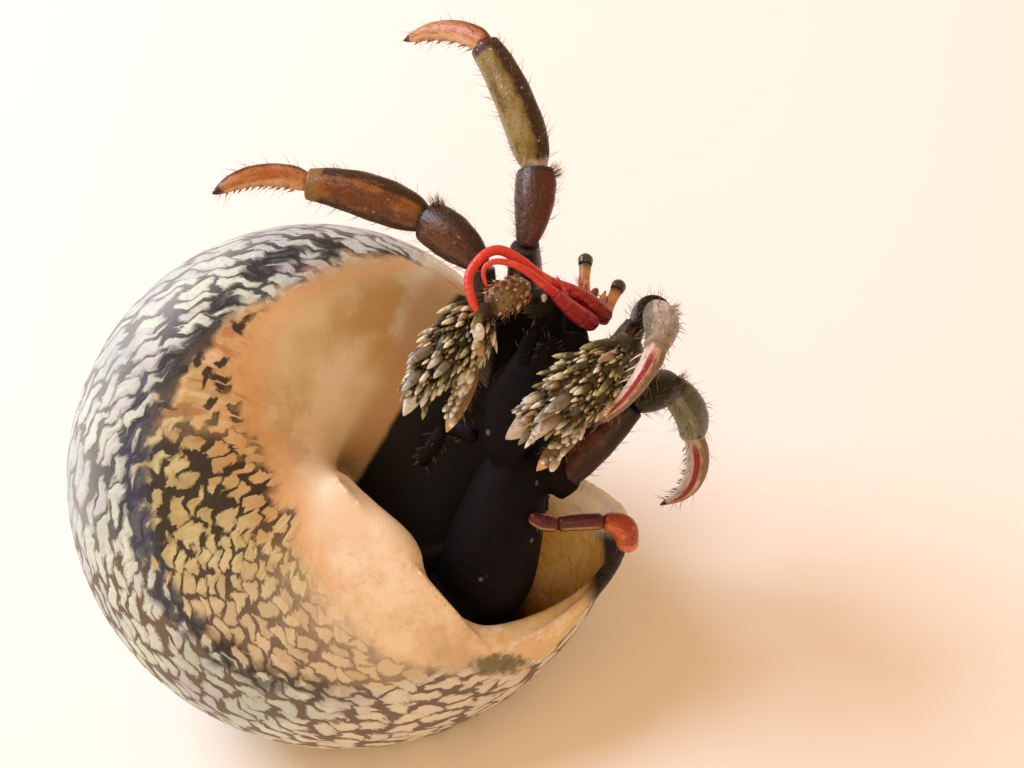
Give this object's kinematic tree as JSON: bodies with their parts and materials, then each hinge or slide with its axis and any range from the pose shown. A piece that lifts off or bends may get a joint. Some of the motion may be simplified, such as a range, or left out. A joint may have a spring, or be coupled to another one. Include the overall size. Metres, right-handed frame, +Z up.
{
  "type": "hermit crab in a topshell",
  "caption": "Striped hermit crab leaning out of a round topshell that lies on its side, legs and antennae spread, life size",
  "frame": {"origin": "middle of the bounding box at floor level, under the shell", "axes": "+Z up; +X to the side the crab leans out of, along the longest extent; the shell's base and mouth face -Y and up"},
  "size_m": [0.0302, 0.024, 0.0253],
  "materials": {
    "shell": "worn limy shell, grey white with dark zigzag lines, glazed peach round the middle of the base, ochre nacre inside",
    "leg_armour": "glossy horny armour, olive brown to reddish brown with pale specks",
    "claw_armour": "knobbly olive armour with greenish white tubercles",
    "claw_tip": "salmon and white armour with red stripes and dark claws",
    "trunk_skin": "wet dark brown skin",
    "antenna_red": "glossy coral red",
    "eyestalk_tan": "smooth orange tan",
    "cornea_black": "wet black"
  },
  "bodies": {
    "root": {"abdomen": "trunk_skin", "antenna_base_left": "antenna_red", "antenna_base_right": "antenna_red", "antenna_left": "antenna_red", "antenna_right": "antenna_red", "antennule_left": "antenna_red", "antennule_right": "antenna_red", "carapace": "trunk_skin", "chest": "trunk_skin", "claw_left_carpus": "claw_armour", "claw_left_finger": "claw_armour", "claw_left_hand": "claw_armour", "claw_left_merus": "claw_armour", "claw_right_carpus": "claw_armour", "claw_right_finger": "claw_armour", "claw_right_hand": "claw_armour", "claw_right_merus": "claw_armour", "cornea_left": "cornea_black", "cornea_right": "cornea_black", "eyestalk_left": "eyestalk_tan", "eyestalk_right": "eyestalk_tan", "leg_left_2_carpus": "leg_armour", "leg_left_2_dactyl": "claw_tip", "leg_left_2_merus": "leg_armour", "leg_left_2_propodus": "leg_armour", "leg_left_3_carpus": "leg_armour", "leg_left_3_dactyl": "claw_tip", "leg_left_3_merus": "leg_armour", "leg_left_3_propodus": "leg_armour", "leg_left_4_inner": "leg_armour", "leg_left_4_outer": "leg_armour", "leg_left_4_tip": "claw_tip", "leg_right_2_carpus": "leg_armour", "leg_right_2_dactyl": "claw_tip", "leg_right_2_merus": "leg_armour", "leg_right_2_propodus": "leg_armour", "leg_right_3_carpus": "leg_armour", "leg_right_3_dactyl": "claw_tip", "leg_right_3_merus": "leg_armour", "leg_right_3_propodus": "leg_armour", "leg_right_4_inner": "leg_armour", "leg_right_4_outer": "leg_armour", "maxilliped_left": "trunk_skin", "maxilliped_right": "trunk_skin", "shell": "shell", "trunk_rear": "trunk_skin"}
  },
  "joints": []
}
